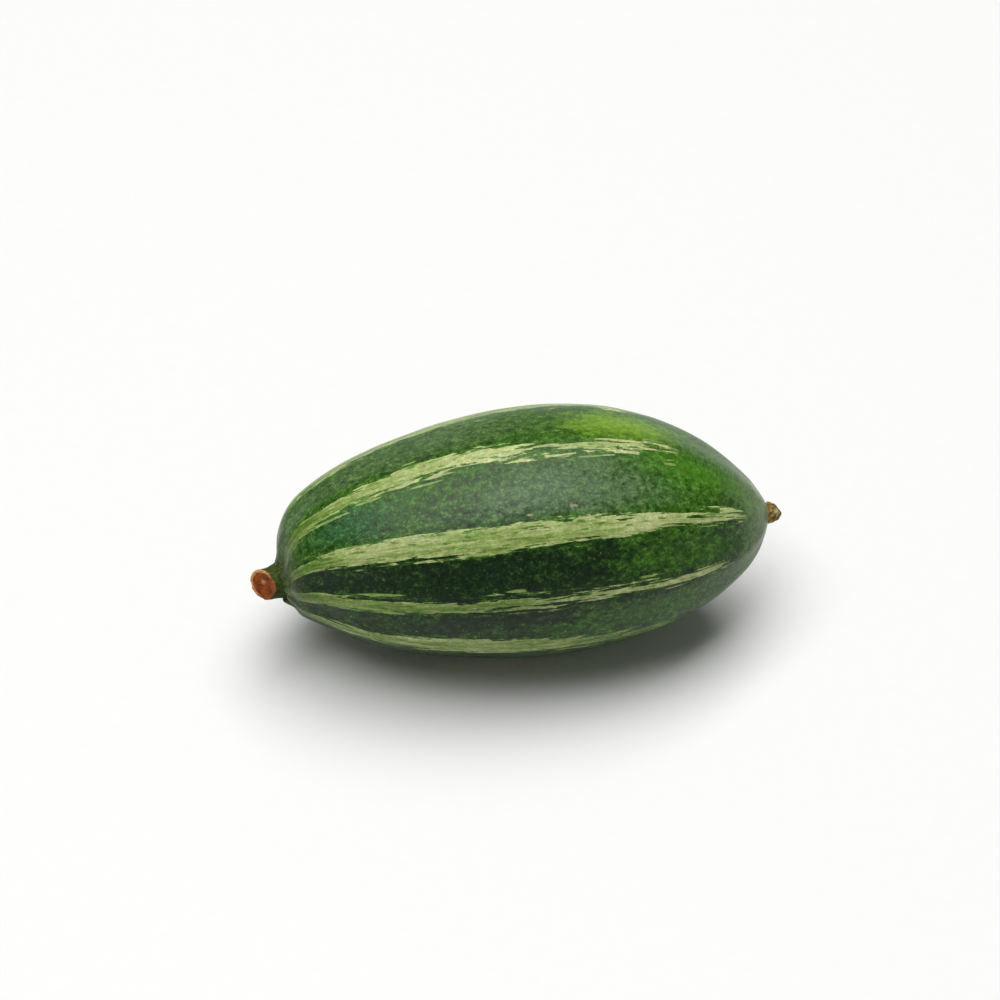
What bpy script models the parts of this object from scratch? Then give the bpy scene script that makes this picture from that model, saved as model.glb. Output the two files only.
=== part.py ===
"""A pointed gourd, as picked: a ribbed fruit lying on its flat resting spot, with the cut stub of its
stem at one end and the dried scar of its flower at the other. Metres, +Z up. The fruit lies along X with
its stem at -X. Its parts are first made in the fruit's own frame, where x runs from the stem pole to the
tip, and then laid down with the middle of their box's floor at the origin."""

import math

import bpy
import numpy as np
from mathutils import Matrix, Vector

MM = 0.001

# Driving dimensions of the fruit
FRUIT_LENGTH = 80.4 * MM
FRUIT_RADIUS = 20.15 * MM
WIDEST_SHIFT = 0.059  # how far the widest ring lies past the middle, as a share of half the length
STEM_POWER = 0.446  # bluntness of each end: the power of the rounded profile there
TIP_POWER = 0.618
DIMPLE_DEPTH = 1.9 * MM
DIMPLE_RADIUS = 5.0 * MM
RIM_START = 0.6 * MM  # where the outer skin ends and the stem's socket starts
SOCKET_RADIUS = 3.4 * MM
SOCKET_DEPTH = 1.2 * MM
NECK_RADIUS = 1.9 * MM  # the drawn-out tip
NECK_SHARE = 0.15  # share of the length over which the tip is drawn out

# Its ribs, one under each pale stripe, as turns from +Y over the top, in degrees
RIB_TURNS = (17, 53, 93, 134, 166, 199, 234, 270, 305, 341)
RIB_HEIGHT = 0.16 * MM
SHOULDER_GAIN = 1.2  # how much prouder the ribs stand on the stem's shoulder
SHOULDER_REACH = 6.0 * MM
RIB_FADE = 2.0 * MM

# Its bow: the back, seen along this turn, is fuller than the belly
BACK_TURN = math.radians(43)
BACK_FULLNESS = 2.4 * MM
STEM_DROP = 1.7 * MM
STEM_DROP_RADII = (3.0 * MM, 11.0 * MM)
TIP_RISE = 1.0 * MM
TIP_RISE_RADIUS = 9.0 * MM
STEM_LEAN = 0.218  # slope of the stem end's face towards the belly
LEAN_SHARE = 0.45  # share of the length over which that slope fades out

# How it lies
LIE_PITCH = math.radians(-1.5)
REST_CUT = 0.5 * MM

# The stem's stub
GAP = 0.3 * MM
STUB_LENGTH = 5.4 * MM
STUB_ROOT_RADIUS = SOCKET_RADIUS - GAP
STUB_WAIST_RADIUS = 2.35 * MM
STUB_END_RADIUS = 2.5 * MM
STUB_RIM_ROUNDING = 0.35 * MM
STUB_HOLLOW = 0.4 * MM
STUB_RIDGES = 5
STUB_RIDGE_SHARE = 0.05
STUB_CUT_TURN = math.radians(133)  # the side that its slanting cut faces
STUB_CUT_SLOPE = 0.62
STUB_BEND = 0.6 * MM

# The flower's scar
SCAR_LENGTH = 2.4 * MM
SCAR_RADIUS = 1.75 * MM
SCAR_FLUTES = 5
SCAR_FLUTE_SHARE = 0.09
SCAR_BEND = 0.3 * MM

# Facets
FRUIT_SIDES = 72
FRUIT_RINGS = 42
STUB_SIDES = 20
SCAR_SIDES = 16
MERGE = 1e-6


def smooth(t):
    """0 below 0, 1 above 1, and an S between."""
    t = np.clip(t, 0.0, 1.0)
    return t * t * (3.0 - 2.0 * t)


def clear_scene():
    for old in list(bpy.data.objects):
        bpy.data.objects.remove(old, do_unlink=True)


def make_collection(name):
    collection = bpy.data.collections.new(name)
    bpy.context.scene.collection.children.link(collection)
    return collection


def plain_material(name, color, roughness):
    material = bpy.data.materials.new(name)
    material.use_nodes = True
    shader = material.node_tree.nodes["Principled BSDF"]
    shader.inputs["Base Color"].default_value = (*color, 1.0)
    shader.inputs["Roughness"].default_value = roughness
    shader.inputs["Metallic"].default_value = 0.0
    return material


def turned(name, profile, sides):
    """The mesh of a profile of (radius, height) points, listed top to bottom, turned about Z."""
    outline = bpy.data.meshes.new(name + "_profile")
    points = [(radius, 0.0, height) for radius, height in profile]
    edges = [(i, i + 1) for i in range(len(points) - 1)]
    outline.from_pydata(points, edges, [])
    guide = bpy.data.objects.new(name + "_profile", outline)
    bpy.context.scene.collection.objects.link(guide)
    screw = guide.modifiers.new("turn", "SCREW")
    screw.axis = "Z"
    screw.angle = 2.0 * math.pi
    screw.steps = sides
    screw.render_steps = sides
    screw.use_merge_vertices = True
    screw.merge_threshold = MERGE
    evaluated = guide.evaluated_get(bpy.context.evaluated_depsgraph_get())
    mesh = bpy.data.meshes.new_from_object(evaluated)
    mesh.name = name
    bpy.data.objects.remove(guide)
    return mesh


def moved(mesh, rule):
    """Moves every point of a mesh by rule(points), which takes and gives an array of x, y, z rows."""
    points = np.zeros(len(mesh.vertices) * 3)
    mesh.vertices.foreach_get("co", points)
    mesh.vertices.foreach_set("co", rule(points.reshape(-1, 3)).ravel())
    mesh.update()
    return mesh


def body_radius(x):
    """Radius of the turned body at x from its stem pole, without the drawn-out tip."""
    place = 2.0 * x / FRUIT_LENGTH - 1.0
    warped = place - WIDEST_SHIFT * (1.0 - place * place)
    power = STEM_POWER + (TIP_POWER - STEM_POWER) * (1.0 + warped) / 2.0
    return FRUIT_RADIUS * max(0.0, 1.0 - warped * warped) ** power


def fruit_profile():
    """(radius, x) from the tip down the skin to the rim of the stem's socket, and into it."""
    points = [(0.0, FRUIT_LENGTH)]
    for ring in range(FRUIT_RINGS, -1, -1):
        share = (1.0 - math.cos(math.pi * ring / FRUIT_RINGS)) / 2.0
        x = RIM_START + (FRUIT_LENGTH - RIM_START) * share
        neck = NECK_RADIUS * smooth((x / FRUIT_LENGTH - 1.0 + NECK_SHARE) / NECK_SHARE)
        radius = math.hypot(body_radius(x), neck)
        points.append((radius, x + dimple(radius, x)))
    rim = RIM_START + dimple(SOCKET_RADIUS, RIM_START)
    points.append((SOCKET_RADIUS, rim))
    points.append((SOCKET_RADIUS, rim + SOCKET_DEPTH))
    points.append((0.0, rim + SOCKET_DEPTH))
    return points


def dimple(radius, x):
    """How far the stem end is pulled in round the stub."""
    if x > FRUIT_LENGTH / 2.0:
        return 0.0
    return DIMPLE_DEPTH * math.exp(-((radius / DIMPLE_RADIUS) ** 2))


def rib_wave(turn):
    """1 on each rib and -1 midway between two, for turns in radians."""
    turns = np.radians(np.array(RIB_TURNS + (RIB_TURNS[0] + 360,)))
    whole = 2.0 * math.pi
    turn = turns[0] + np.mod(turn - turns[0], whole)
    phase = np.interp(turn, turns, whole * np.arange(len(turns)))
    return np.cos(phase)


def centre_shift(radius, x):
    """How far a ring's centre lies from the x axis, towards the back."""
    low, high = STEM_DROP_RADII
    at_stem = x < FRUIT_LENGTH / 2.0
    radius = np.where(at_stem, np.maximum(radius, low), radius)
    shift = BACK_FULLNESS * radius / FRUIT_RADIUS
    drop = STEM_DROP * smooth((high - radius) / (high - low))
    rise = TIP_RISE * smooth(1.0 - radius / TIP_RISE_RADIUS)
    return shift + np.where(at_stem, -drop, rise)


def lean(x, towards_back):
    """How far the stem end's slope moves a point along x."""
    fade = np.clip(1.0 - x / (LEAN_SHARE * FRUIT_LENGTH), 0.0, 1.0)
    return -STEM_LEAN * towards_back * fade**2


def bent(x, side, height, centre_radius):
    """Points of the fruit's own frame, bowed and leaned as the fruit is."""
    back = np.array([math.cos(BACK_TURN), math.sin(BACK_TURN)])
    towards_back = side * back[0] + height * back[1]
    shift = centre_shift(centre_radius, x)
    x = x + lean(x, towards_back)
    return np.stack([x, side + shift * back[0], height + shift * back[1]], axis=1)


def fruit_form(points):
    """The turned body, laid along x, with its ribs, its bow and its leaning stem end."""
    side, height, x = points.T
    radius = np.hypot(side, height)
    gain = 1.0 + SHOULDER_GAIN * np.exp(-x / SHOULDER_REACH)
    fade = smooth((radius - body_radius(RIM_START)) / RIB_FADE)
    rib = RIB_HEIGHT * gain * fade * rib_wave(np.arctan2(height, side))
    scale = 1.0 + rib / np.maximum(radius, MM)
    return bent(x, side * scale, height * scale, radius)


def stub_profile():
    """(radius, height) from the hollow of the cut end down to the root."""
    top = STUB_LENGTH
    rounding = STUB_RIM_ROUNDING
    points = [(0.0, top - STUB_HOLLOW), (0.45 * STUB_END_RADIUS, top - 0.8 * STUB_HOLLOW)]
    for step in range(4):
        angle = math.radians(90 - 30 * step)
        radius = STUB_END_RADIUS - rounding + rounding * math.cos(angle)
        points.append((radius, top - rounding + rounding * math.sin(angle)))
    for share in (0.75, 0.6, 0.45, 0.3, 0.2, 0.1, 0.0):
        flare = (STUB_ROOT_RADIUS - STUB_WAIST_RADIUS) * math.exp(-((share / 0.18) ** 2))
        swell = (STUB_END_RADIUS - STUB_WAIST_RADIUS) * smooth((share - 0.4) / 0.6)
        points.append((STUB_WAIST_RADIUS + flare + swell, top * share))
    points.append((0.0, 0.0))
    return points


def stub_form(points):
    """The turned stub, standing out of its socket: ridged, a little bent and cut at a slant."""
    side, height, out = -points[:, 0], points[:, 1], points[:, 2]
    share = out / STUB_LENGTH
    turn = np.arctan2(height, side)
    scale = 1.0 + STUB_RIDGE_SHARE * smooth(share / 0.5) * np.cos(STUB_RIDGES * turn)
    side, height = side * scale, height * scale
    facing = np.array([math.cos(STUB_CUT_TURN), math.sin(STUB_CUT_TURN)])
    towards_cut = side * facing[0] + height * facing[1]
    out = out - STUB_CUT_SLOPE * towards_cut * smooth(share) ** 2
    bend = STUB_BEND * share * share
    root = RIM_START + dimple(SOCKET_RADIUS, RIM_START) + SOCKET_DEPTH - GAP
    placed = bent(np.full(len(out), root), side, height, np.full(len(out), SOCKET_RADIUS))
    placed[:, 0] -= out
    placed[:, 1] += bend * facing[0]
    placed[:, 2] += bend * facing[1]
    return placed


def scar_profile():
    """(radius, height) of the dried flower's scar, from its point down to its base."""
    points = [(0.0, SCAR_LENGTH)]
    for share in (0.97, 0.88, 0.7, 0.45, 0.2, 0.0):
        points.append((SCAR_RADIUS * (1.0 - share**2.2) ** 0.75, SCAR_LENGTH * share))
    points.append((0.0, 0.0))
    return points


def scar_form(points):
    """The turned scar, fluted and bent a little, at the end of the tip."""
    side, height, out = points.T
    turn = np.arctan2(height, side)
    scale = 1.0 - SCAR_FLUTE_SHARE * (1.0 + np.cos(SCAR_FLUTES * turn)) / 2.0
    share = out / SCAR_LENGTH
    bend = -SCAR_BEND * share * share
    tip = np.full(len(out), FRUIT_LENGTH)
    placed = bent(tip, side * scale, height * scale, np.full(len(out), NECK_RADIUS))
    placed[:, 0] += GAP + out
    placed[:, 1] += bend * math.cos(BACK_TURN)
    placed[:, 2] += bend * math.sin(BACK_TURN)
    return placed


def lay_down(meshes, fruit):
    """Pitches the parts to the way the fruit lies, flattens its resting spot and centres the box."""
    for mesh in meshes:
        mesh.transform(Matrix.Rotation(LIE_PITCH, 4, "Y"))
    floor = min(vertex.co.z for vertex in fruit.vertices) + REST_CUT
    for vertex in fruit.vertices:
        vertex.co.z = max(vertex.co.z, floor)
    corners = [vertex.co for mesh in meshes for vertex in mesh.vertices]
    x_ends = [pick(corner.x for corner in corners) for pick in (min, max)]
    y_ends = [pick(corner.y for corner in corners) for pick in (min, max)]
    middle = Vector((sum(x_ends) / 2.0, sum(y_ends) / 2.0, floor))
    for mesh in meshes:
        mesh.transform(Matrix.Translation(-middle))
        mesh.update()


def add_part(collection, mesh, material):
    part = bpy.data.objects.new(mesh.name, mesh)
    mesh.shade_smooth()
    mesh.set_sharp_from_angle(angle=math.radians(40))
    mesh.materials.clear()
    mesh.materials.append(material)
    collection.objects.link(part)
    return part


def main():
    clear_scene()
    collection = make_collection("pointed_gourd")
    fruit = moved(turned("gourd_fruit", fruit_profile(), FRUIT_SIDES), fruit_form)
    stub = moved(turned("stem_stub", stub_profile(), STUB_SIDES), stub_form)
    scar = moved(turned("blossom_scar", scar_profile(), SCAR_SIDES), scar_form)
    lay_down([fruit, stub, scar], fruit)
    add_part(collection, fruit, plain_material("green_skin", (0.06, 0.14, 0.03), 0.4))
    add_part(collection, stub, plain_material("cut_stem", (0.2, 0.08, 0.02), 0.75))
    add_part(collection, scar, plain_material("dried_scar", (0.25, 0.17, 0.08), 0.8))


main()
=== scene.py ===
"""The looks of a pointed gourd: its striped skin, the cut stub of its stem and the dried scar
of its flower, on a pale floor in soft studio light.

Lengths are in metres, or in millimetres where a name says so."""

import math
from types import SimpleNamespace

import bpy
import numpy as np
from mathutils import Matrix, Vector, noise


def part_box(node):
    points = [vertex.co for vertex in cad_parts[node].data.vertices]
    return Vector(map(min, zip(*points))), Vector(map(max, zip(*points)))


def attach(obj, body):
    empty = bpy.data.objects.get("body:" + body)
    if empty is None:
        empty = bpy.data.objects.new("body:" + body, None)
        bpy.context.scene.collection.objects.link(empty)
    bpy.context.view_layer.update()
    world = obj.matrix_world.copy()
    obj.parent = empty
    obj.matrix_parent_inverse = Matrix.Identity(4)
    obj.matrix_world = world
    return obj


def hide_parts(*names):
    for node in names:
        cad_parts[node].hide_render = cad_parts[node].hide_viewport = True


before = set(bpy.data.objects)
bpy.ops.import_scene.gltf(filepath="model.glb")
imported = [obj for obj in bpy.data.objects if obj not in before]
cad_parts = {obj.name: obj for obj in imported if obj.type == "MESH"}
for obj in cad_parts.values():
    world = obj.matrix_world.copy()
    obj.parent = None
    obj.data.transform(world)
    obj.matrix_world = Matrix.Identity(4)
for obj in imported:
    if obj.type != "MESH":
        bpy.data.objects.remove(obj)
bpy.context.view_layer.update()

MM = 0.001

# The fruit's form, as its solid has it
FRUIT_LENGTH = 80.4 * MM
FRUIT_RADIUS = 20.15 * MM
WIDEST_SHIFT = 0.059
STEM_POWER = 0.446
TIP_POWER = 0.618
DIMPLE_DEPTH = 1.9 * MM
DIMPLE_RADIUS = 5.0 * MM
NECK_RADIUS = 1.9 * MM
NECK_SHARE = 0.15
RIB_TURNS = (17, 53, 93, 134, 166, 199, 234, 270, 305, 341)
RIB_HEIGHT = 0.16 * MM
SHOULDER_GAIN = 1.2
SHOULDER_REACH = 6.0 * MM
RIB_FADE = 2.0 * MM
RIM_START = 0.6 * MM
SOCKET_RADIUS = 3.4 * MM
BACK_TURN = math.radians(43)
BACK = (math.cos(BACK_TURN), math.sin(BACK_TURN))
BACK_FULLNESS = 2.4 * MM
STEM_DROP = 1.7 * MM
STEM_DROP_RADII = (3.0 * MM, 11.0 * MM)
TIP_RISE = 1.0 * MM
TIP_RISE_RADIUS = 9.0 * MM
STEM_LEAN = 0.218
LEAN_SHARE = 0.45
LIE_PITCH = math.radians(-1.5)
REST_CUT = 0.5 * MM

# Fine form of the skin
SKIN_SIDES = 320
SKIN_RINGS = 200
SKIN_START = 0.12 * MM
LUMP_HEIGHT = 0.16 * MM
LUMP_SIZE = 15 * MM
LUMP_FADE_RADIUS = 9 * MM
DENT_DEPTH = 0.035 * MM
DENT_SIZE = 4.5 * MM
FOLD_HEIGHT = 0.40 * MM
FOLD_RADIUS = 5.5 * MM
FOLD_REACH = 3.5 * MM
FOLD_LENGTH = 9 * MM
FOLD_CLOSENESS = 2.6
FOLD_OUTWARD = 0.5
FOLD_ENDWARD = 0.9
TIP_FOLD_SHARE = 0.4
TIP_FOLD_RADIUS = 5 * MM
COLLAR_HEIGHT = 1.0 * MM
COLLAR_RADIUS = 2.7 * MM
COLLAR_WIDTH = 1.2 * MM
COLLAR_UNEVENNESS = 0.35

# The stub's side, with shares of its length
STUB_SIDES = 120
STUB_SIDE_RINGS = 46
STUB_LENGTH = 5.05 * MM
STUB_WAIST_RADIUS = 2.35 * MM
STUB_END_RADIUS = 2.45 * MM
STUB_SWELL_START = 0.4
STUB_FLARE = 0.8 * MM
STUB_FLARE_REACH = 0.16
STUB_BACK_FLARE = 2.0 * MM
STUB_BACK_FLARE_REACH = 0.5
STUB_RIDGES = 5
STUB_RIDGE_SHARE = 0.025
STUB_RIDGE_REACH = 0.5
ROOT_RIDGES = 10
ROOT_RIDGE_SHARE = 0.06
ROOT_RIDGE_REACH = 0.45
FIBRES = 23
FIBRE_SHARE = 0.008
FIBRE_TWIST = 5.0
STUB_LUMP_SIZE = 0.8 * MM
STUB_LUMP_SHARE = 0.035
STUB_LUMP_SQUEEZE = 0.4
STUB_BEND = 0.6 * MM
STUB_ROOT_DEPTH = 0.9 * MM

# The stub's cut end, with shares of its radius
STUB_RIM_RINGS = 8
STUB_FACE_RINGS = 34
STUB_FACE_SPAN = (0.97, 0.02)
STUB_CUT_TURN = math.radians(133)
STUB_CUT_SLOPE = 0.70
STUB_CUT_ROUGHNESS = 0.05 * MM
STUB_RIM_ROUNDING = 0.35 * MM
STUB_HOLLOW = 0.40 * MM
PITH_HEIGHT = 0.22 * MM
PITH_SHARE = 0.16
PITH_SHIFT = 0.4 * MM
RING_HEIGHT = 0.10 * MM
RING_SHARE = 0.62
RING_WIDTH = 0.12

# The stub's UV map: the share along at which its side ends and at which its cut face starts
STUB_RIM_ALONG = 0.6
STUB_FACE_ALONG = 0.7

# The flower's scar
SCAR_SIDES = 96
SCAR_RINGS = 48
SCAR_LENGTH = 2.4 * MM
SCAR_END_SHARE = 0.985
SCAR_ROOT = 0.8 * MM
SCAR_RADIUS = 1.75 * MM
SCAR_SWELL_POWER = 2.1
SCAR_TAPER_POWER = 0.8
SCAR_FLUTES = 5
SCAR_FLUTE_SHARE = 0.09
SCAR_LUMPS = ((0.75 * MM, 9.2, 0.13), (0.30 * MM, 2.2, 0.05))  # size, seed, share
SCAR_LUMP_SQUEEZE = 0.6
SCAR_BEND = 0.3 * MM
GAP = 0.3 * MM

# The camera, at the photograph's viewing angle
VIEW_TURN = math.radians(-13.75)
VIEW_RISE = math.radians(46)
VIEW_ROLL = math.radians(4.79)
VIEW_DISTANCE = 0.42
FOCAL_PX = 2604.7
PHOTO_SIZE_PX = 1000
SENSOR_MM = 36
MIDDLE_HEIGHT = 19 * MM
MIDDLE_PX = (518.6, 536.0)  # where the fruit's middle lies in the photograph

# The stage: the softbox overhead, and the world's grey by the height of the direction
SOFTBOX_PLACE = (-0.15, 0.22, 2.0)
SOFTBOX_TARGET = (0.0, 0.0, 0.02)
SOFTBOX_SIZE = (2.8, 1.3)
SOFTBOX_WATTS = 64.5
WORLD_GREYS = ((0.0, 0.82), (0.05, 0.60), (0.15, 0.28), (0.45, 0.09))
FLOOR_RADIUS = 1.2
FLOOR_SIDES = 96
FLOOR_COLOURS = ((0.755, 0.755, 0.75), (0.775, 0.775, 0.77))

# Depth of the finest relief, which is in the materials alone
PORE_DEPTH = 0.050 * MM
GRAIN_DEPTH = 0.040 * MM
STRIPE_RISE = 0.020 * MM
FIBRE_DEPTH = 0.10 * MM
WOOD_GRAIN_DEPTH = 0.06 * MM
SCAR_GRAIN_DEPTH = 0.10 * MM

# Colours of the skin, as linear reflectances
DEEP_GREEN = (0.005, 0.021, 0.004)
MID_GREEN = (0.034, 0.104, 0.007)
TEAL_GREEN = (0.022, 0.090, 0.036)
# dusty grey-green, partly a dull bloom and partly painted sheen
DUST_AND_SHEEN_GREEN = (0.062, 0.115, 0.034)
# grey-green of a waxy bloom, made paler so that it also stands in for the softbox's sheen: partly
# painted sheen
BLOOM_AND_SHEEN_GREEN = (0.092, 0.150, 0.074)
LEAF_GREEN = (0.048, 0.155, 0.008)
YELLOW_GREEN = (0.150, 0.290, 0.012)
STRIPE_GREEN = (0.085, 0.165, 0.020)
STRIPE_OLIVE = (0.240, 0.325, 0.092)
STRIPE_CREAM = (0.405, 0.450, 0.195)
STEM_OLIVE = (0.050, 0.076, 0.022)
SPECK_GREEN = (0.120, 0.190, 0.060)
TIP_GREY = (0.105, 0.175, 0.055)
TIP_TAN = (0.260, 0.240, 0.150)
SCAB_BROWN = (0.200, 0.085, 0.030)
SCAB_BEIGE = (0.330, 0.300, 0.190)

# Colours of the stub, dark to light, and of the scar
NECK_OLIVES = ((0.020, 0.032, 0.004), (0.042, 0.064, 0.008), (0.090, 0.120, 0.040))
WOOD_BROWNS = ((0.110, 0.018, 0.002), (0.270, 0.056, 0.007), (0.340, 0.090, 0.014))
PITH_BEIGE = (0.560, 0.300, 0.110)
# tans of the bark at the cut's rim, lightened as a painted highlight for the lit side
BARK_AND_HIGHLIGHT_TANS = ((0.420, 0.200, 0.060), (0.620, 0.350, 0.140))
SCAR_OLIVE = (0.085, 0.080, 0.022)
SCAR_BROWN = (0.220, 0.105, 0.022)
SCAR_TAN = (0.250, 0.180, 0.060)
SCAR_CREAM = (0.380, 0.370, 0.170)
SCAR_DARK = (0.060, 0.030, 0.010)

# The skin rolled out: its length, and the radius of the roll
SKIN_LENGTH_MM = 93.0
SKIN_ROLL_MM = 20.0
RIB_COUNT = 10

# Stripes in view: share along, shift from the rib and half width in rib spaces, paleness
STRIPE_COURSES = {
    1: (
        (0.04, 0.00, 0.10, 0.1), (0.12, -0.03, 0.20, 0.3), (0.55, -0.03, 0.17, 0.5),
        (0.65, -0.02, 0.12, 0.5), (0.75, 0.00, 0.00, 0.4),
    ),
    2: (
        (0.04, 0.18, 0.20, 0.0), (0.10, 0.14, 0.14, 0.0), (0.15, 0.10, 0.11, 0.2),
        (0.20, 0.05, 0.09, 0.5), (0.27, 0.02, 0.11, 0.5), (0.38, -0.01, 0.11, 0.8),
        (0.47, 0.01, 0.10, 1.0), (0.54, 0.04, 0.07, 0.6), (0.65, 0.02, 0.07, 0.6),
        (0.72, -0.03, 0.05, 0.7), (0.77, 0.00, 0.00, 0.4),
    ),
    3: (
        (0.04, 0.03, 0.12, 0.0), (0.11, 0.00, 0.13, 0.1), (0.18, -0.02, 0.15, 0.7),
        (0.31, 0.03, 0.17, 0.6), (0.40, 0.03, 0.15, 0.5), (0.50, 0.02, 0.12, 0.4),
        (0.60, 0.00, 0.15, 0.6), (0.68, 0.00, 0.12, 1.0), (0.76, 0.00, 0.08, 0.6),
        (0.86, -0.03, 0.06, 0.7), (0.91, -0.01, 0.00, 0.4),
    ),
    4: (
        (0.04, -0.02, 0.24, 0.0), (0.10, 0.00, 0.20, 0.1), (0.16, 0.00, 0.15, 0.3),
        (0.28, 0.00, 0.09, 0.2), (0.40, -0.02, 0.08, 0.1), (0.46, -0.03, 0.10, 0.2),
        (0.52, -0.02, 0.05, 0.5), (0.60, -0.04, 0.06, 0.7), (0.68, -0.03, 0.08, 0.8),
        (0.75, 0.03, 0.06, 0.8), (0.81, 0.01, 0.04, 0.7), (0.86, 0.00, 0.00, 0.3),
    ),
    5: (
        (0.04, 0.02, 0.20, 0.1), (0.14, -0.04, 0.15, 0.3), (0.25, -0.14, 0.16, 0.5),
        (0.40, -0.13, 0.18, 0.4), (0.50, -0.12, 0.14, 0.3), (0.60, -0.06, 0.07, 0.1),
        (0.68, 0.02, 0.05, 0.0), (0.76, 0.08, 0.00, 0.0),
    ),
}
HIDDEN_COURSE = (
    (0.04, 0.00, 0.18, 0.1), (0.12, 0.03, 0.15, 0.3), (0.26, -0.03, 0.13, 0.6),
    (0.42, 0.02, 0.16, 0.7), (0.58, -0.02, 0.12, 0.6), (0.74, 0.02, 0.09, 0.6),
    (0.88, 0.00, 0.00, 0.3),
)

# A ramp holds values from 0 to 1, so it holds shifts and widths as shares of these
SHIFT_SPAN = 0.4
WIDTH_SPAN = 0.25

# The share along from which each stripe frays into strands, by rib count from 0 to 10
FRAYED_FROM = (0.55, 0.62, 0.47, 0.80, 0.44, 0.55, 0.50, 0.65, 0.45, 0.60, 0.55)

# How light the ground is between ribs, by rib count
GROUND_LIGHTNESS = (
    (0.5, 0.50), (1.5, 0.75), (2.5, 0.60), (3.35, 0.04), (3.65, 0.04), (4.5, 0.26),
    (5.5, 0.15), (6.5, 0.45), (7.5, 0.20), (8.5, 0.50), (9.5, 0.30),
)

# Patches of the ground: share along, rib count, half length, half width, colour, strength. The two
# grey-green patches on the upper bands are partly painted sheen
GROUND_PATCHES = (
    (0.67, 1.60, 0.17, 0.55, YELLOW_GREEN, 0.85),
    (0.79, 2.30, 0.17, 0.55, LEAF_GREEN, 0.95),
    (0.18, 2.45, 0.13, 0.50, TEAL_GREEN, 0.70),
    # the dusty patch on the top band, partly painted sheen
    (0.32, 1.55, 0.30, 0.55, DUST_AND_SHEEN_GREEN, 0.75),
    # the bloom over the upper band, partly painted sheen
    (0.55, 2.58, 0.30, 0.52, BLOOM_AND_SHEEN_GREEN, 0.70),
    (0.76, 3.55, 0.24, 0.60, LEAF_GREEN, 0.40),
    (0.70, 4.50, 0.25, 0.50, MID_GREEN, 0.80),
    (0.62, 6.40, 0.18, 0.50, LEAF_GREEN, 0.80),
    (0.40, 8.55, 0.15, 0.35, LEAF_GREEN, 0.60),
    (0.72, 9.40, 0.14, 0.40, YELLOW_GREEN, 0.60),
)

# Pale dashes beside the stripes: share along, rib count, half length, half width
STRAY_DASHES = (
    (0.184, 3.24, 0.012, 0.030), (0.450, 3.78, 0.024, 0.028), (0.215, 3.76, 0.036, 0.026),
    (0.300, 1.80, 0.014, 0.018), (0.670, 3.82, 0.034, 0.032), (0.815, 3.98, 0.020, 0.030),
    (0.740, 2.24, 0.012, 0.020), (0.105, 2.02, 0.016, 0.030), (0.880, 3.10, 0.012, 0.040),
    (0.350, 7.22, 0.024, 0.024), (0.560, 8.76, 0.030, 0.028), (0.240, 6.30, 0.018, 0.024),
    (0.165, 2.27, 0.030, 0.022), (0.225, 2.20, 0.034, 0.022), (0.315, 2.20, 0.040, 0.018),
    (0.600, 2.17, 0.030, 0.016),
)

# Scars, and the tip's tan side: share along, rib count, half length, half width, colour
SKIN_SCARS = (
    (0.188, 2.86, 0.006, 0.030, SCAB_BROWN),
    (0.635, 1.965, 0.030, 0.010, SCAB_BROWN),
    (0.555, 2.73, 0.012, 0.030, SCAB_BEIGE),
    (0.480, 2.78, 0.010, 0.018, SCAB_BEIGE),
    (0.350, 6.60, 0.020, 0.016, SCAB_BEIGE),
    (0.560, 8.42, 0.008, 0.040, SCAB_BROWN),
    (0.955, 1.80, 0.030, 0.800, TIP_TAN),
)


# Form of the fruit

def smooth(t):
    """0 below 0, 1 above 1, and an S between."""
    t = np.clip(t, 0.0, 1.0)
    return t * t * (3.0 - 2.0 * t)


def body_radius(x):
    place = 2.0 * x / FRUIT_LENGTH - 1.0
    warped = place - WIDEST_SHIFT * (1.0 - place * place)
    power = STEM_POWER + (TIP_POWER - STEM_POWER) * (1.0 + warped) / 2.0
    return FRUIT_RADIUS * np.maximum(0.0, 1.0 - warped * warped) ** power


def dimple(radius, x):
    """How far the stem end is pulled in round the stub."""
    depth = DIMPLE_DEPTH * np.exp(-((radius / DIMPLE_RADIUS) ** 2))
    return np.where(x < FRUIT_LENGTH / 2.0, depth, 0.0)


def rib_turn(count):
    """The turn in radians of a rib count from 0 to 10."""
    turns = np.radians(np.array(RIB_TURNS + (RIB_TURNS[0] + 360,)))
    return np.interp(count, np.arange(len(turns)), turns)


def centre_shift(radius, x):
    """How far a ring's centre lies from the x axis, towards the back."""
    low, high = STEM_DROP_RADII
    at_stem = x < FRUIT_LENGTH / 2.0
    radius = np.where(at_stem, np.maximum(radius, low), radius)
    shift = BACK_FULLNESS * radius / FRUIT_RADIUS
    drop = STEM_DROP * smooth((high - radius) / (high - low))
    rise = TIP_RISE * smooth(1.0 - radius / TIP_RISE_RADIUS)
    return shift + np.where(at_stem, -drop, rise)


def bent(x, side, height, centre_radius):
    """Points of the fruit's own frame, bowed and leaned as the fruit is."""
    towards_back = side * BACK[0] + height * BACK[1]
    shift = centre_shift(centre_radius, x)
    fade = np.clip(1.0 - x / (LEAN_SHARE * FRUIT_LENGTH), 0.0, 1.0)
    x = x - STEM_LEAN * towards_back * fade**2
    return np.stack([x, side + shift * BACK[0], height + shift * BACK[1]], axis=-1)


def lie(points):
    """Points turned as the fruit lies."""
    cosine, sine = math.cos(LIE_PITCH), math.sin(LIE_PITCH)
    x, y, z = points[..., 0], points[..., 1], points[..., 2]
    return np.stack([x * cosine + z * sine, y, z * cosine - x * sine], axis=-1)


def lumps(points, size, seed):
    """Smooth noise from about -1 to 1 at each point, with features of that size."""
    offset = Vector((seed, 2.0 * seed, 3.0 * seed))
    flat = points.reshape(-1, 3)
    values = [noise.noise(Vector(point) / size + offset) for point in flat]
    return 2.0 * np.array(values).reshape(points.shape[:-1])


def hump(distance, width):
    """1 at no distance, falling to nothing over about twice the width."""
    return np.exp(-((distance / width) ** 2))


# Pieces

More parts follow.
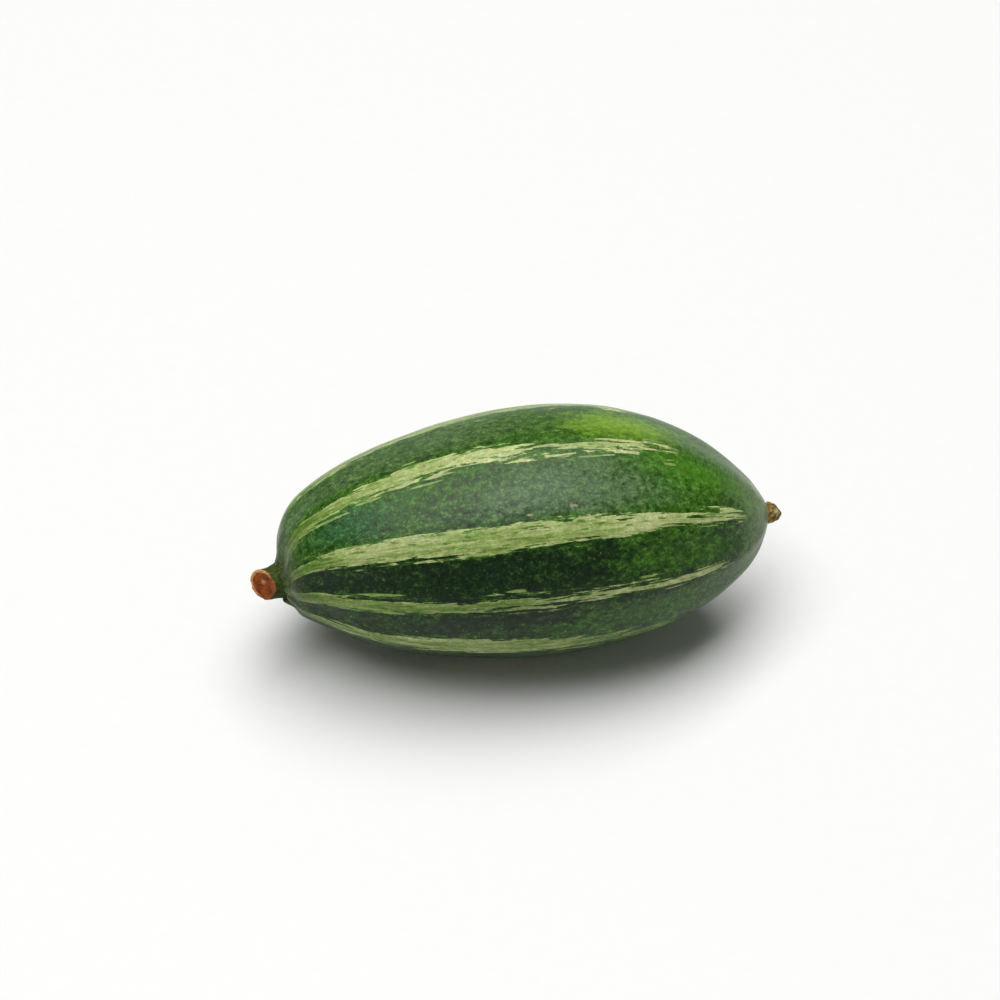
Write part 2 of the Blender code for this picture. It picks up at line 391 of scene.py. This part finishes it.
def tube_object(name, points, along):
    """A closed piece from an array of rings x sides x 3 points, with a fan over both ends.

    Its UV map "skin" holds the share of a turn and the given share along."""
    rings, sides = points.shape[:2]
    verts = [tuple(point) for point in points.reshape(-1, 3)]
    verts.append(tuple(points[0].mean(axis=0)))
    verts.append(tuple(points[-1].mean(axis=0)))
    first, last = len(verts) - 2, len(verts) - 1
    faces, uvs = [], []
    for i in range(rings - 1):
        for j in range(sides):
            k = (j + 1) % sides
            faces.append((i * sides + j, i * sides + k, (i + 1) * sides + k, (i + 1) * sides + j))
            left, right = j / sides, (j + 1) / sides
            uvs += [(left, along[i]), (right, along[i])]
            uvs += [(right, along[i + 1]), (left, along[i + 1])]
    for j in range(sides):
        k = (j + 1) % sides
        left, right = j / sides, (j + 1) / sides
        middle = (left + right) / 2
        faces.append((first, k, j))
        uvs += [(middle, along[0]), (right, along[0]), (left, along[0])]
        faces.append((last, (rings - 1) * sides + j, (rings - 1) * sides + k))
        uvs += [(middle, along[-1]), (left, along[-1]), (right, along[-1])]
    mesh = bpy.data.meshes.new(name)
    mesh.from_pydata(verts, [], faces)
    layer = mesh.uv_layers.new(name="skin")
    for corner, uv in zip(layer.data, uvs):
        corner.uv = uv
    mesh.shade_smooth()
    piece = bpy.data.objects.new(name, mesh)
    bpy.context.scene.collection.objects.link(piece)
    return piece


def skin_stations():
    """x and radius of each ring of the skin, from inside the stub's foot to the tip."""
    share = (1.0 - np.cos(math.pi * np.linspace(0.0, 1.0, SKIN_RINGS + 1))) / 2.0
    x = SKIN_START + (FRUIT_LENGTH - SKIN_START) * share
    neck = NECK_RADIUS * smooth((x / FRUIT_LENGTH - 1.0 + NECK_SHARE) / NECK_SHARE)
    radius = np.hypot(body_radius(x), neck)
    return x + dimple(radius, x), radius


def skin_points():
    """The fine skin's rings, and the share along of each."""
    x, radius = skin_stations()
    steps = np.hypot(np.diff(x), np.diff(radius))
    along = np.concatenate([[0.0], np.cumsum(steps)])
    count = np.linspace(0.0, RIB_COUNT, SKIN_SIDES, endpoint=False)
    x = np.repeat(x[:, None], SKIN_SIDES, axis=1)
    radius = np.repeat(radius[:, None], SKIN_SIDES, axis=1)
    turn = np.repeat(rib_turn(count)[None, :], len(x), axis=0)
    side, height = np.cos(turn), np.sin(turn)
    at_stem = x < FRUIT_LENGTH / 2.0
    place = np.stack([x, radius * side, radius * height], axis=-1)

    gain = 1.0 + SHOULDER_GAIN * np.exp(-x / SHOULDER_REACH)
    fade = smooth((radius - body_radius(RIM_START)) / RIB_FADE)
    grown = RIB_HEIGHT * gain * fade * np.cos(2.0 * math.pi * count)
    grown += LUMP_HEIGHT * lumps(place, LUMP_SIZE, seed=3.1) * smooth(radius / LUMP_FADE_RADIUS)
    grown += DENT_DEPTH * lumps(place, DENT_SIZE, seed=8.3)

    spokes = np.stack([x / FOLD_LENGTH, FOLD_CLOSENESS * side, FOLD_CLOSENESS * height], axis=-1)
    near_stem = hump(radius - FOLD_RADIUS, FOLD_REACH) * at_stem
    near_tip = TIP_FOLD_SHARE * hump(radius, TIP_FOLD_RADIUS) * ~at_stem
    folds = FOLD_HEIGHT * lumps(spokes, size=1.0, seed=5.9) * (near_stem + near_tip)
    collar = COLLAR_HEIGHT * hump(radius - COLLAR_RADIUS, COLLAR_WIDTH) * at_stem
    collar *= 1.0 + COLLAR_UNEVENNESS * lumps(spokes, size=0.7, seed=1.7)

    out = radius + grown + FOLD_OUTWARD * folds
    x = x - collar - FOLD_ENDWARD * folds * at_stem
    return bent(x, out * side, out * height, radius), along / along[-1]


def make_skin():
    """The skin, and the shift that lays every piece on the floor where the solid lies."""
    points, along = skin_points()
    points = lie(points)
    floor = points[..., 2].min() + REST_CUT
    points[..., 2] = np.maximum(points[..., 2], floor)
    cad = np.array(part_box("gourd_fruit"))
    own = np.array([points.min(axis=(0, 1)), points.max(axis=(0, 1))])
    shift = cad.mean(axis=0) - own.mean(axis=0)
    shift[0] = cad[1, 0] - own[1, 0]
    shift[2] = -floor
    return tube_object("gourd_skin", points + shift, along), shift


def stub_profile():
    """Radius, distance out and share along of each ring of the side, the rim and the face."""
    rim = STUB_RIM_ROUNDING
    share = np.linspace(0.0, 1.0 - rim / STUB_LENGTH, STUB_SIDE_RINGS)
    flare = STUB_FLARE * hump(share, STUB_FLARE_REACH)
    widening = STUB_END_RADIUS - STUB_WAIST_RADIUS
    swell = widening * smooth((share - STUB_SWELL_START) / (1.0 - STUB_SWELL_START))
    angle = np.radians(np.linspace(0.0, 90.0, STUB_RIM_RINGS))
    ratio = np.linspace(*STUB_FACE_SPAN, STUB_FACE_RINGS)
    pith = PITH_HEIGHT * hump(ratio, PITH_SHARE)
    ring = RING_HEIGHT * hump(ratio - RING_SHARE, RING_WIDTH)
    radius = np.concatenate([
        STUB_WAIST_RADIUS + flare + swell,
        STUB_END_RADIUS - rim + rim * np.cos(angle),
        (STUB_END_RADIUS - rim) * ratio,
    ])
    out = np.concatenate([
        STUB_LENGTH * share,
        STUB_LENGTH - rim + rim * np.sin(angle),
        STUB_LENGTH - STUB_HOLLOW * (1.0 - ratio**2) + pith + ring,
    ])
    along = np.concatenate([
        STUB_RIM_ALONG * share,
        np.linspace(STUB_RIM_ALONG, STUB_FACE_ALONG, STUB_RIM_RINGS),
        STUB_FACE_ALONG + (1.0 - STUB_FACE_ALONG) * (1.0 - ratio),
    ])
    return radius, out, along


def make_stub(shift):
    """The stub: its ridged side with a foot that flares at the back, and its slanting cut face."""
    radius, out, along = stub_profile()
    turn = np.linspace(0.0, 2.0 * math.pi, STUB_SIDES, endpoint=False)
    out, turn = np.meshgrid(out, turn, indexing="ij")
    share = np.clip(out / STUB_LENGTH, 0.0, 1.0)
    ridges = STUB_RIDGE_SHARE * smooth(share / STUB_RIDGE_REACH) * np.cos(STUB_RIDGES * turn)
    root_fade = 1.0 - smooth(share / ROOT_RIDGE_REACH)
    root_ridges = ROOT_RIDGE_SHARE * root_fade * np.cos(ROOT_RIDGES * turn)
    fibres = FIBRE_SHARE * np.cos(FIBRES * turn + FIBRE_TWIST * share)
    back_flare = hump(share, STUB_BACK_FLARE_REACH) * (1.0 + np.cos(turn - BACK_TURN)) / 2.0
    spoke = radius[:, None] * (1.0 + ridges + root_ridges + fibres) + STUB_BACK_FLARE * back_flare
    side, height = spoke * np.cos(turn), spoke * np.sin(turn)

    place = np.stack([STUB_LUMP_SQUEEZE * out, side, height], axis=-1)
    uneven = lumps(place, STUB_LUMP_SIZE, seed=5.3)
    swollen = 1.0 + STUB_LUMP_SHARE * uneven
    side, height = side * swollen, height * swollen
    off_centre = PITH_SHIFT * smooth((along[:, None] - STUB_FACE_ALONG) / (1.0 - STUB_FACE_ALONG))
    side, height = side + off_centre * BACK[0], height + off_centre * BACK[1]
    facing = (math.cos(STUB_CUT_TURN), math.sin(STUB_CUT_TURN))
    towards_cut = side * facing[0] + height * facing[1]
    out = out - STUB_CUT_SLOPE * towards_cut * smooth(share) ** 2
    out = out + STUB_CUT_ROUGHNESS * uneven * smooth(share)

    bend = STUB_BEND * share**2
    root = RIM_START + dimple(SOCKET_RADIUS, RIM_START) + STUB_ROOT_DEPTH
    points = bent(np.full_like(out, root), side, height, np.full_like(out, SOCKET_RADIUS))
    points -= np.stack([out, -bend * facing[0], -bend * facing[1]], axis=-1)
    # the rings run towards -X, so each is counted the other way round to face out
    return tube_object("stem_stub_fine", lie(points[:, ::-1]) + shift, along)


def make_scar(shift):
    """The dried nub of the flower, rooted in the fruit's tip."""
    out = np.linspace(-SCAR_ROOT, SCAR_END_SHARE * SCAR_LENGTH, SCAR_RINGS)
    turn = np.linspace(0.0, 2.0 * math.pi, SCAR_SIDES, endpoint=False)
    out, turn = np.meshgrid(out, turn, indexing="ij")
    share = np.maximum(out / SCAR_LENGTH, 0.0)
    radius = SCAR_RADIUS * (1.0 - share**SCAR_SWELL_POWER) ** SCAR_TAPER_POWER
    radius = radius * (1.0 - SCAR_FLUTE_SHARE * (1.0 + np.cos(SCAR_FLUTES * turn)) / 2.0)
    squeezed = SCAR_LUMP_SQUEEZE * out
    place = np.stack([squeezed, radius * np.cos(turn), radius * np.sin(turn)], axis=-1)
    uneven = sum(part * lumps(place, size, seed) for size, seed, part in SCAR_LUMPS)
    radius = radius * (1.0 + uneven)
    bend = SCAR_BEND * share**2
    side, height = radius * np.cos(turn), radius * np.sin(turn)
    tip = np.full_like(out, FRUIT_LENGTH)
    points = bent(tip, side, height, np.full_like(out, NECK_RADIUS))
    points += np.stack([GAP + out, -bend * BACK[0], -bend * BACK[1]], axis=-1)
    return tube_object("blossom_scar_fine", lie(points) + shift, np.linspace(0.0, 1.0, SCAR_RINGS))


# Writing materials

class Nodes:
    """A short way to write a material's nodes. A value is a number, or another node's output."""

    def __init__(self, name):
        self.material = bpy.data.materials.new(name)
        self.material.use_nodes = True
        self.tree = self.material.node_tree
        self.shader = self.tree.nodes["Principled BSDF"]

    def put(self, socket, value):
        if isinstance(value, bpy.types.NodeSocket):
            self.tree.links.new(value, socket)
        else:
            socket.default_value = value

    def put_colour(self, socket, colour):
        self.put(socket, (*colour, 1.0) if isinstance(colour, tuple) else colour)

    def math(self, operation, a, b=0.0, c=0.0):
        node = self.tree.nodes.new("ShaderNodeMath")
        node.operation = operation
        for socket, value in zip(node.inputs, (a, b, c)):
            self.put(socket, value)
        return node.outputs[0]

    def times(self, a, b):
        return self.math("MULTIPLY", a, b)

    def swayed(self, value, by, amount):
        """The value, raised or lowered as the noise lies above or below its middle."""
        return self.math("MULTIPLY_ADD", self.math("SUBTRACT", by, 0.5), amount, value)

    def ease(self, value, low, high, out_low=0.0, out_high=1.0):
        """A smooth step from out_low at low to out_high at high."""
        node = self.tree.nodes.new("ShaderNodeMapRange")
        node.interpolation_type = "SMOOTHSTEP"
        keys = ("Value", "From Min", "From Max", "To Min", "To Max")
        for key, given in zip(keys, (value, low, high, out_low, out_high)):
            self.put(node.inputs[key], given)
        return node.outputs[0]

    def mix(self, share, a, b, blend="MIX"):
        """A mix of two colours. The node's colour sockets are inputs 6 and 7 and output 2."""
        node = self.tree.nodes.new("ShaderNodeMix")
        node.data_type = "RGBA"
        node.blend_type = blend
        self.put(node.inputs[0], share)
        self.put_colour(node.inputs[6], a)
        self.put_colour(node.inputs[7], b)
        return node.outputs[2]

    def ramp(self, value, stops, interpolation="LINEAR"):
        """stops are (place, grey) or (place, (r, g, b))."""
        node = self.tree.nodes.new("ShaderNodeValToRGB")
        node.color_ramp.interpolation = interpolation
        elements = node.color_ramp.elements
        while len(elements) < len(stops):
            elements.new(0.5)
        for element, (place, colour) in zip(elements, stops):
            element.position = place
            rgb = colour if isinstance(colour, tuple) else (colour, colour, colour)
            element.color = (*rgb, 1.0)
        self.put(node.inputs[0], value)
        return node.outputs[0]

    def vector(self, x, y, z):
        node = self.tree.nodes.new("ShaderNodeCombineXYZ")
        for socket, value in zip(node.inputs, (x, y, z)):
            self.put(socket, value)
        return node.outputs[0]

    def split(self, vector):
        node = self.tree.nodes.new("ShaderNodeSeparateXYZ")
        self.put(node.inputs[0], vector)
        return node.outputs

    def scaled(self, vector, *factors):
        node = self.tree.nodes.new("ShaderNodeVectorMath")
        node.operation = "MULTIPLY"
        self.put(node.inputs[0], vector)
        node.inputs[1].default_value = factors
        return node.outputs[0]

    def noise(self, vector, scale, detail, roughness):
        node = self.tree.nodes.new("ShaderNodeTexNoise")
        keys = ("Vector", "Scale", "Detail", "Roughness")
        for key, given in zip(keys, (vector, scale, detail, roughness)):
            self.put(node.inputs[key], given)
        return node.outputs["Fac"]

    def cells(self, vector, scale):
        """For each cell of a Voronoi pattern, the distance from its middle and a random value."""
        node = self.tree.nodes.new("ShaderNodeTexVoronoi")
        self.put(node.inputs["Vector"], vector)
        self.put(node.inputs["Scale"], scale)
        return node.outputs["Distance"], self.split(node.outputs["Color"])[0]

    def bump(self, height, distance, normal=None):
        node = self.tree.nodes.new("ShaderNodeBump")
        self.put(node.inputs["Height"], height)
        node.inputs["Distance"].default_value = distance
        if normal is not None:
            self.put(node.inputs["Normal"], normal)
        return node.outputs[0]

    def uv(self):
        """The share of a turn and the share along."""
        node = self.tree.nodes.new("ShaderNodeUVMap")
        node.uv_map = "skin"
        return self.split(node.outputs[0])[:2]

    def place_mm(self):
        """The piece's own coordinates, in millimetres."""
        node = self.tree.nodes.new("ShaderNodeTexCoord")
        return self.scaled(node.outputs["Object"], 1000.0, 1000.0, 1000.0)

    def finish(self, colour, roughness, specular, normal=None):
        """The material, with its shader's sockets filled."""
        self.put(self.shader.inputs["Base Color"], colour)
        self.put(self.shader.inputs["Roughness"], roughness)
        self.shader.inputs["Specular IOR Level"].default_value = specular
        if normal is not None:
            self.put(self.shader.inputs["Normal"], normal)
        return self.material


# Layers of the skin's colour. Each takes the nodes n, and the places and noises s that all share.

def skin_fields(n):
    """Places on the skin, and noises: strands that follow the stripes, and grain that doesn't."""
    turn, along = n.uv()
    angle = n.times(turn, 2.0 * math.pi)
    rolled = n.vector(
        n.times(n.math("COSINE", angle), SKIN_ROLL_MM),
        n.times(n.math("SINE", angle), SKIN_ROLL_MM),
        n.times(along, SKIN_LENGTH_MM),
    )
    place = n.place_mm()
    return SimpleNamespace(
        turn=turn,
        along=along,
        count=n.times(turn, float(RIB_COUNT)),
        place=place,
        ragged=n.noise(n.scaled(rolled, 1.0, 1.0, 0.12), scale=0.9, detail=3.0, roughness=0.6),
        strand=n.noise(n.scaled(rolled, 1.0, 1.0, 0.08), scale=1.5, detail=3.0, roughness=0.65),
        long_dash=n.cells(n.scaled(rolled, 1.0, 1.0, 0.16), scale=1.7)[1],
        short_dash=n.cells(n.scaled(rolled, 1.0, 1.0, 0.22), scale=3.6)[1],
        blotch=n.noise(n.scaled(place, 0.5, 1.0, 1.0), scale=0.10, detail=3.0, roughness=0.55),
        cloud=n.noise(n.scaled(place, 0.7, 1.0, 1.0), scale=0.38, detail=3.0, roughness=0.6),
        grain=n.noise(n.scaled(place, 0.75, 1.0, 1.0), scale=1.1, detail=4.0, roughness=0.7),
        fine=n.noise(place, scale=2.6, detail=2.0, roughness=0.6),
    )


def patch(n, s, along, count, half_length, half_width):
    """1 in the middle of an oval patch, 0 at its edge and below 0 beyond."""
    across = n.math("DIVIDE", n.math("SUBTRACT", s.count, count), half_width)
    lengthwise = n.math("DIVIDE", n.math("SUBTRACT", s.along, along), half_length)
    reach = n.math("MULTIPLY_ADD", lengthwise, lengthwise, n.times(across, across))
    return n.math("SUBTRACT", 1.0, n.math("SQRT", reach))


def course_ramp(n, s, course):
    """A ramp along the fruit, with the width, the shift and the paleness as its three channels."""
    stops = []
    for place, shift, half, pale in course:
        stops.append((place, (half / WIDTH_SPAN, 0.5 + shift / SHIFT_SPAN, pale)))
    return n.ramp(s.along, stops)


def stripe_course(n, s):
    """The nearest stripe's rib, and its half width, shift and paleness at this share along."""
    nearest = n.math("FLOOR", n.math("ADD", s.count, 0.5))
    course = course_ramp(n, s, HIDDEN_COURSE)
    for rib, rows in STRIPE_COURSES.items():
        course = n.mix(n.math("COMPARE", nearest, rib, 0.5), course, course_ramp(n, s, rows))
    half, shift, paleness = n.split(course)
    half = n.times(half, WIDTH_SPAN)
    shift = n.times(n.math("SUBTRACT", shift, 0.5), SHIFT_SPAN)
    return nearest, half, shift, paleness


def ragged_edge(n, s):
    """How far a stripe's edge lies out from its course here. It frays into strands further on."""
    starts = [(max(0.0, (rib - 0.5) / RIB_COUNT), share) for rib, share in enumerate(FRAYED_FROM)]
    past_start = n.math("SUBTRACT", s.along, n.ramp(s.turn, starts, "CONSTANT"))
    frayed = n.ease(past_start, -0.05, 0.06, 0.20, 0.75)
    edge = n.swayed(0.0, s.ragged, 0.30)
    edge = n.swayed(edge, s.long_dash, 0.075)
    edge = n.swayed(edge, s.short_dash, 0.05)
    return n.swayed(edge, s.strand, frayed)


def add_stripe(n, s):
    """Adds to s the nearest stripe's half width and paleness, how far inside its edge a place is,
    in spaces between ribs, and the share of stripe there."""
    nearest, s.half, shift, s.paleness = stripe_course(n, s)
    offset = n.math("SUBTRACT", n.math("SUBTRACT", s.count, nearest), shift)
    reach = n.math("ADD", s.half, ragged_edge(n, s))
    s.inside = n.math("SUBTRACT", reach, n.math("ABSOLUTE", offset))
    s.stripe = n.times(n.ease(s.inside, -0.008, 0.012), n.ease(s.half, 0.0, 0.03))


def ground_colour(n, s):
    """Clouded green with broad patches, two of them partly painted sheen, a brighter halo beside
    the stripes, specks and dots.
    """
    lightness = n.ramp(s.turn, [(count / RIB_COUNT, grey) for count, grey in GROUND_LIGHTNESS])
    lightness = n.math("MULTIPLY_ADD", n.ease(s.along, 0.40, 0.85), 0.35, lightness)
    lightness = n.swayed(lightness, s.blotch, 0.9)
    lightness = n.swayed(lightness, s.cloud, 1.1)
    lightness = n.swayed(lightness, s.grain, 1.0)
    ground = n.mix(n.ease(lightness, 0.0, 0.9), DEEP_GREEN, MID_GREEN)
    for *spot, colour, strength in GROUND_PATCHES:
        share = n.swayed(patch(n, s, *spot), s.grain, 0.8)
        share = n.swayed(share, s.cloud, 0.6)
        ground = n.mix(n.ease(share, 0.15, 0.85, 0.0, strength), ground, colour)

    halo = n.times(n.ease(s.inside, -0.06, 0.0), n.ease(s.ragged, 0.35, 0.6, 0.2, 0.8))
    ground = n.mix(n.times(halo, n.ease(s.half, 0.0, 0.05)), ground, LEAF_GREEN)
    speck = n.ease(n.math("MULTIPLY_ADD", s.grain, 0.6, s.fine), 0.88, 1.00)
    speck = n.times(speck, n.ease(lightness, -0.1, 0.8, 0.08, 0.30))
    ground = n.mix(speck, ground, SPECK_GREEN)
    distance, size = n.cells(s.place, scale=0.62)
    dots = n.ease(n.math("SUBTRACT", n.times(size, 0.16), distance), -0.02, 0.03)
    return n.mix(n.times(dots, 0.55), ground, STRIPE_GREEN)


def stripe_colour(n, s):
    """Green to cream in fine strands, palest along the edges, with a few green cracks."""
    pale = n.swayed(s.paleness, s.strand, 2.2)
    pale = n.math("MULTIPLY_ADD", n.ease(s.inside, 0.055, 0.01), 0.55, pale)
    pale = n.swayed(pale, s.short_dash, 0.25)
    band = n.ramp(pale, [(0.0, STRIPE_GREEN), (0.5, STRIPE_OLIVE), (1.0, STRIPE_CREAM)])
    crack = n.ease(n.math("ADD", s.short_dash, n.times(s.strand, -0.5)), 0.61, 0.67)
    return n.mix(n.times(crack, 0.75), band, LEAF_GREEN)


def colour_ends(n, s, colour):
    """Olive round the stem, and grey and tan round the tip."""
    colour = n.mix(n.ease(s.along, 0.10, 0.02, 0.0, 0.75), colour, STEM_OLIVE)
    tip_end = n.swayed(s.along, s.cloud, 0.10)
    colour = n.mix(n.ease(tip_end, 0.84, 0.95, 0.0, 0.65), colour, TIP_GREY)
    return n.mix(n.ease(tip_end, 0.970, 0.990, 0.0, 0.8), colour, TIP_TAN)


def add_marks(n, s, colour):
    """Stray dashes and small scars, and over all of it a fine mottle, weaker on light skin."""
    for spot in STRAY_DASHES:
        share = n.swayed(patch(n, s, *spot), s.ragged, 3.0)
        colour = n.mix(n.ease(share, 0.20, 0.35, 0.0, 0.85), colour, STRIPE_OLIVE)
    for *spot, scab in SKIN_SCARS:
        share = n.swayed(patch(n, s, *spot), s.grain, 1.2)
        colour = n.mix(n.ease(share, 0.2, 0.6, 0.0, 0.8), colour, scab)
    mottle = n.swayed(n.swayed(0.5, s.grain, 2.6), s.fine, 1.6)
    mottle = n.ramp(mottle, [(0.0, 0.50), (0.5, 0.96), (1.0, 1.80)])
    green = n.split(colour)[1]
    return n.mix(n.ease(green, 0.08, 0.18, 1.0, 0.45), colour, mottle, "MULTIPLY")


# Materials

def skin_material():
    n = Nodes("gourd_skin")
    s = skin_fields(n)
    add_stripe(n, s)
    colour = n.mix(s.stripe, ground_colour(n, s), stripe_colour(n, s))
    colour = add_marks(n, s, colour_ends(n, s, colour))
    pores = n.noise(s.place, scale=3.0, detail=3.0, roughness=0.6)
    normal = n.bump(pores, PORE_DEPTH)
    normal = n.bump(s.grain, GRAIN_DEPTH, normal)
    normal = n.bump(s.stripe, STRIPE_RISE, normal)
    roughness = n.ramp(s.grain, [(0.35, 0.27), (0.65, 0.37)])
    return n.finish(colour, roughness, specular=0.19, normal=normal)


def stub_material():
    """An olive neck, a tan rim of bark that is painted wider and stronger on its lit side as a
    painted highlight, and brown wood with pale pith.
    """
    n = Nodes("cut_stem")
    turn, along = n.uv()
    place = n.place_mm()
    grain = n.noise(place, scale=2.6, detail=4.0, roughness=0.65)
    blotch = n.noise(place, scale=0.8, detail=2.0, roughness=0.5)
    fibre = n.noise(n.scaled(place, 0.25, 1.0, 1.0), scale=3.0, detail=3.0, roughness=0.6)
    neck = n.ramp(fibre, list(zip((0.35, 0.52, 0.68), NECK_OLIVES)))

    wood = n.ramp(blotch, [(0.40, WOOD_BROWNS[0]), (0.60, WOOD_BROWNS[1])])
    wood = n.mix(n.ease(grain, 0.45, 0.65, 0.0, 0.5), wood, WOOD_BROWNS[2])
    ratio = n.times(n.math("SUBTRACT", 1.0, along), 1.0 / (1.0 - STUB_FACE_ALONG))
    wood = n.mix(n.ease(n.swayed(ratio, grain, 0.5), 0.26, 0.06, 0.0, 0.7), wood, PITH_BEIGE)

    # the tan rim is painted wide and full on the stub's lit side and only thinly on its shaded
    # side: a painted highlight on real bark
    bark_and_highlight = n.ramp(fibre, [(0.40, BARK_AND_HIGHLIGHT_TANS[0]), (0.60, BARK_AND_HIGHLIGHT_TANS[1])])
    lit_side = n.ease(n.math("COSINE", n.times(turn, 2.0 * math.pi)), -0.6, 0.5)
    rim = n.ease(n.math("MULTIPLY_ADD", lit_side, -0.02, along), 0.72, 0.69)
    rim = n.times(rim, n.math("MULTIPLY_ADD", lit_side, 0.85, 0.15))
    face = n.mix(rim, wood, bark_and_highlight)
    colour = n.mix(n.ease(n.swayed(along, fibre, 0.06), 0.62, 0.65), neck, face)
    normal = n.bump(grain, WOOD_GRAIN_DEPTH, n.bump(fibre, FIBRE_DEPTH))
    return n.finish(colour, roughness=0.7, specular=0.15, normal=normal)


def scar_material():
    n = Nodes("dried_scar")
    place = n.place_mm()
    grain = n.noise(place, scale=3.4, detail=4.0, roughness=0.7)
    patchy = n.noise(place, scale=1.3, detail=2.0, roughness=0.5)
    stops = [(0.38, SCAR_OLIVE), (0.47, SCAR_BROWN), (0.55, SCAR_TAN), (0.66, SCAR_CREAM)]
    colour = n.mix(n.ease(grain, 0.56, 0.62, 0.0, 0.7), n.ramp(patchy, stops), SCAR_DARK)
    return n.finish(colour, roughness=0.8, specular=0.3, normal=n.bump(grain, SCAR_GRAIN_DEPTH))


def floor_material():
    n = Nodes("pale_floor")
    grain = n.noise(n.place_mm(), scale=0.4, detail=3.0, roughness=0.5)
    return n.finish(n.mix(grain, *FLOOR_COLOURS), roughness=0.6, specular=0.5)


# Stage

def make_floor():
    turns = np.linspace(0.0, 2.0 * math.pi, FLOOR_SIDES, endpoint=False)
    rim = [(FLOOR_RADIUS * math.cos(turn), FLOOR_RADIUS * math.sin(turn), 0.0) for turn in turns]
    mesh = bpy.data.meshes.new("floor")
    mesh.from_pydata(rim, [], [range(FLOOR_SIDES)])
    mesh.materials.append(floor_material())
    floor = bpy.data.objects.new("floor", mesh)
    bpy.context.scene.collection.objects.link(floor)


def make_world():
    """Pale near the horizon and dim above, so that the skin mirrors little but the softbox."""
    world = bpy.data.worlds.new("studio")
    bpy.context.scene.world = world
    world.use_nodes = True
    tree = world.node_tree
    coordinates = tree.nodes.new("ShaderNodeTexCoord")
    split = tree.nodes.new("ShaderNodeSeparateXYZ")
    ramp = tree.nodes.new("ShaderNodeValToRGB")
    elements = ramp.color_ramp.elements
    while len(elements) < len(WORLD_GREYS):
        elements.new(0.5)
    for element, (place, grey) in zip(elements, WORLD_GREYS):
        element.position = place
        element.color = (grey, grey, grey, 1.0)
    tree.links.new(coordinates.outputs["Generated"], split.inputs[0])
    tree.links.new(split.outputs["Z"], ramp.inputs[0])
    tree.links.new(ramp.outputs[0], tree.nodes["Background"].inputs["Color"])


def make_softbox():
    light = bpy.data.lights.new("softbox", "AREA")
    light.shape = "RECTANGLE"
    light.size, light.size_y = SOFTBOX_SIZE
    light.energy = SOFTBOX_WATTS
    lamp = bpy.data.objects.new("softbox", light)
    lamp.location = SOFTBOX_PLACE
    direction = Vector(SOFTBOX_TARGET) - lamp.location
    lamp.rotation_mode = "QUATERNION"
    lamp.rotation_quaternion = direction.to_track_quat("-Z", "Y")
    bpy.context.scene.collection.objects.link(lamp)


def make_camera():
    right = Vector((math.cos(VIEW_TURN), math.sin(VIEW_TURN), 0.0))
    level = Vector((math.sin(VIEW_TURN), -math.cos(VIEW_TURN), 0.0))
    back = level * math.cos(VIEW_RISE) + Vector((0.0, 0.0, math.sin(VIEW_RISE)))
    up = back.cross(right)
    rolled_right = right * math.cos(VIEW_ROLL) + up * math.sin(VIEW_ROLL)
    rolled_up = up * math.cos(VIEW_ROLL) - right * math.sin(VIEW_ROLL)
    metres_per_px = VIEW_DISTANCE / FOCAL_PX
    across = (PHOTO_SIZE_PX / 2 - MIDDLE_PX[0]) * metres_per_px
    upward = (MIDDLE_PX[1] - PHOTO_SIZE_PX / 2) * metres_per_px
    target = Vector((0.0, 0.0, MIDDLE_HEIGHT)) + rolled_right * across + rolled_up * upward
    data = bpy.data.cameras.new("camera")
    data.sensor_width = SENSOR_MM
    data.lens = FOCAL_PX * SENSOR_MM / PHOTO_SIZE_PX
    data.clip_start = 0.01
    data.clip_end = 20.0
    camera = bpy.data.objects.new("camera", data)
    bpy.context.scene.collection.objects.link(camera)
    axes = Matrix((rolled_right, rolled_up, back)).transposed()
    camera.matrix_world = Matrix.Translation(target + back * VIEW_DISTANCE) @ axes.to_4x4()
    bpy.context.scene.camera = camera


def finish_piece(piece, material, node):
    piece.data.materials.append(material)
    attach(piece, "root")
    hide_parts(node)


def main():
    make_camera()
    make_world()
    make_softbox()
    make_floor()
    skin, shift = make_skin()
    finish_piece(skin, skin_material(), "gourd_fruit")
    finish_piece(make_stub(shift), stub_material(), "stem_stub")
    finish_piece(make_scar(shift), scar_material(), "blossom_scar")
    bpy.context.scene.view_settings.view_transform = "Standard"


main()
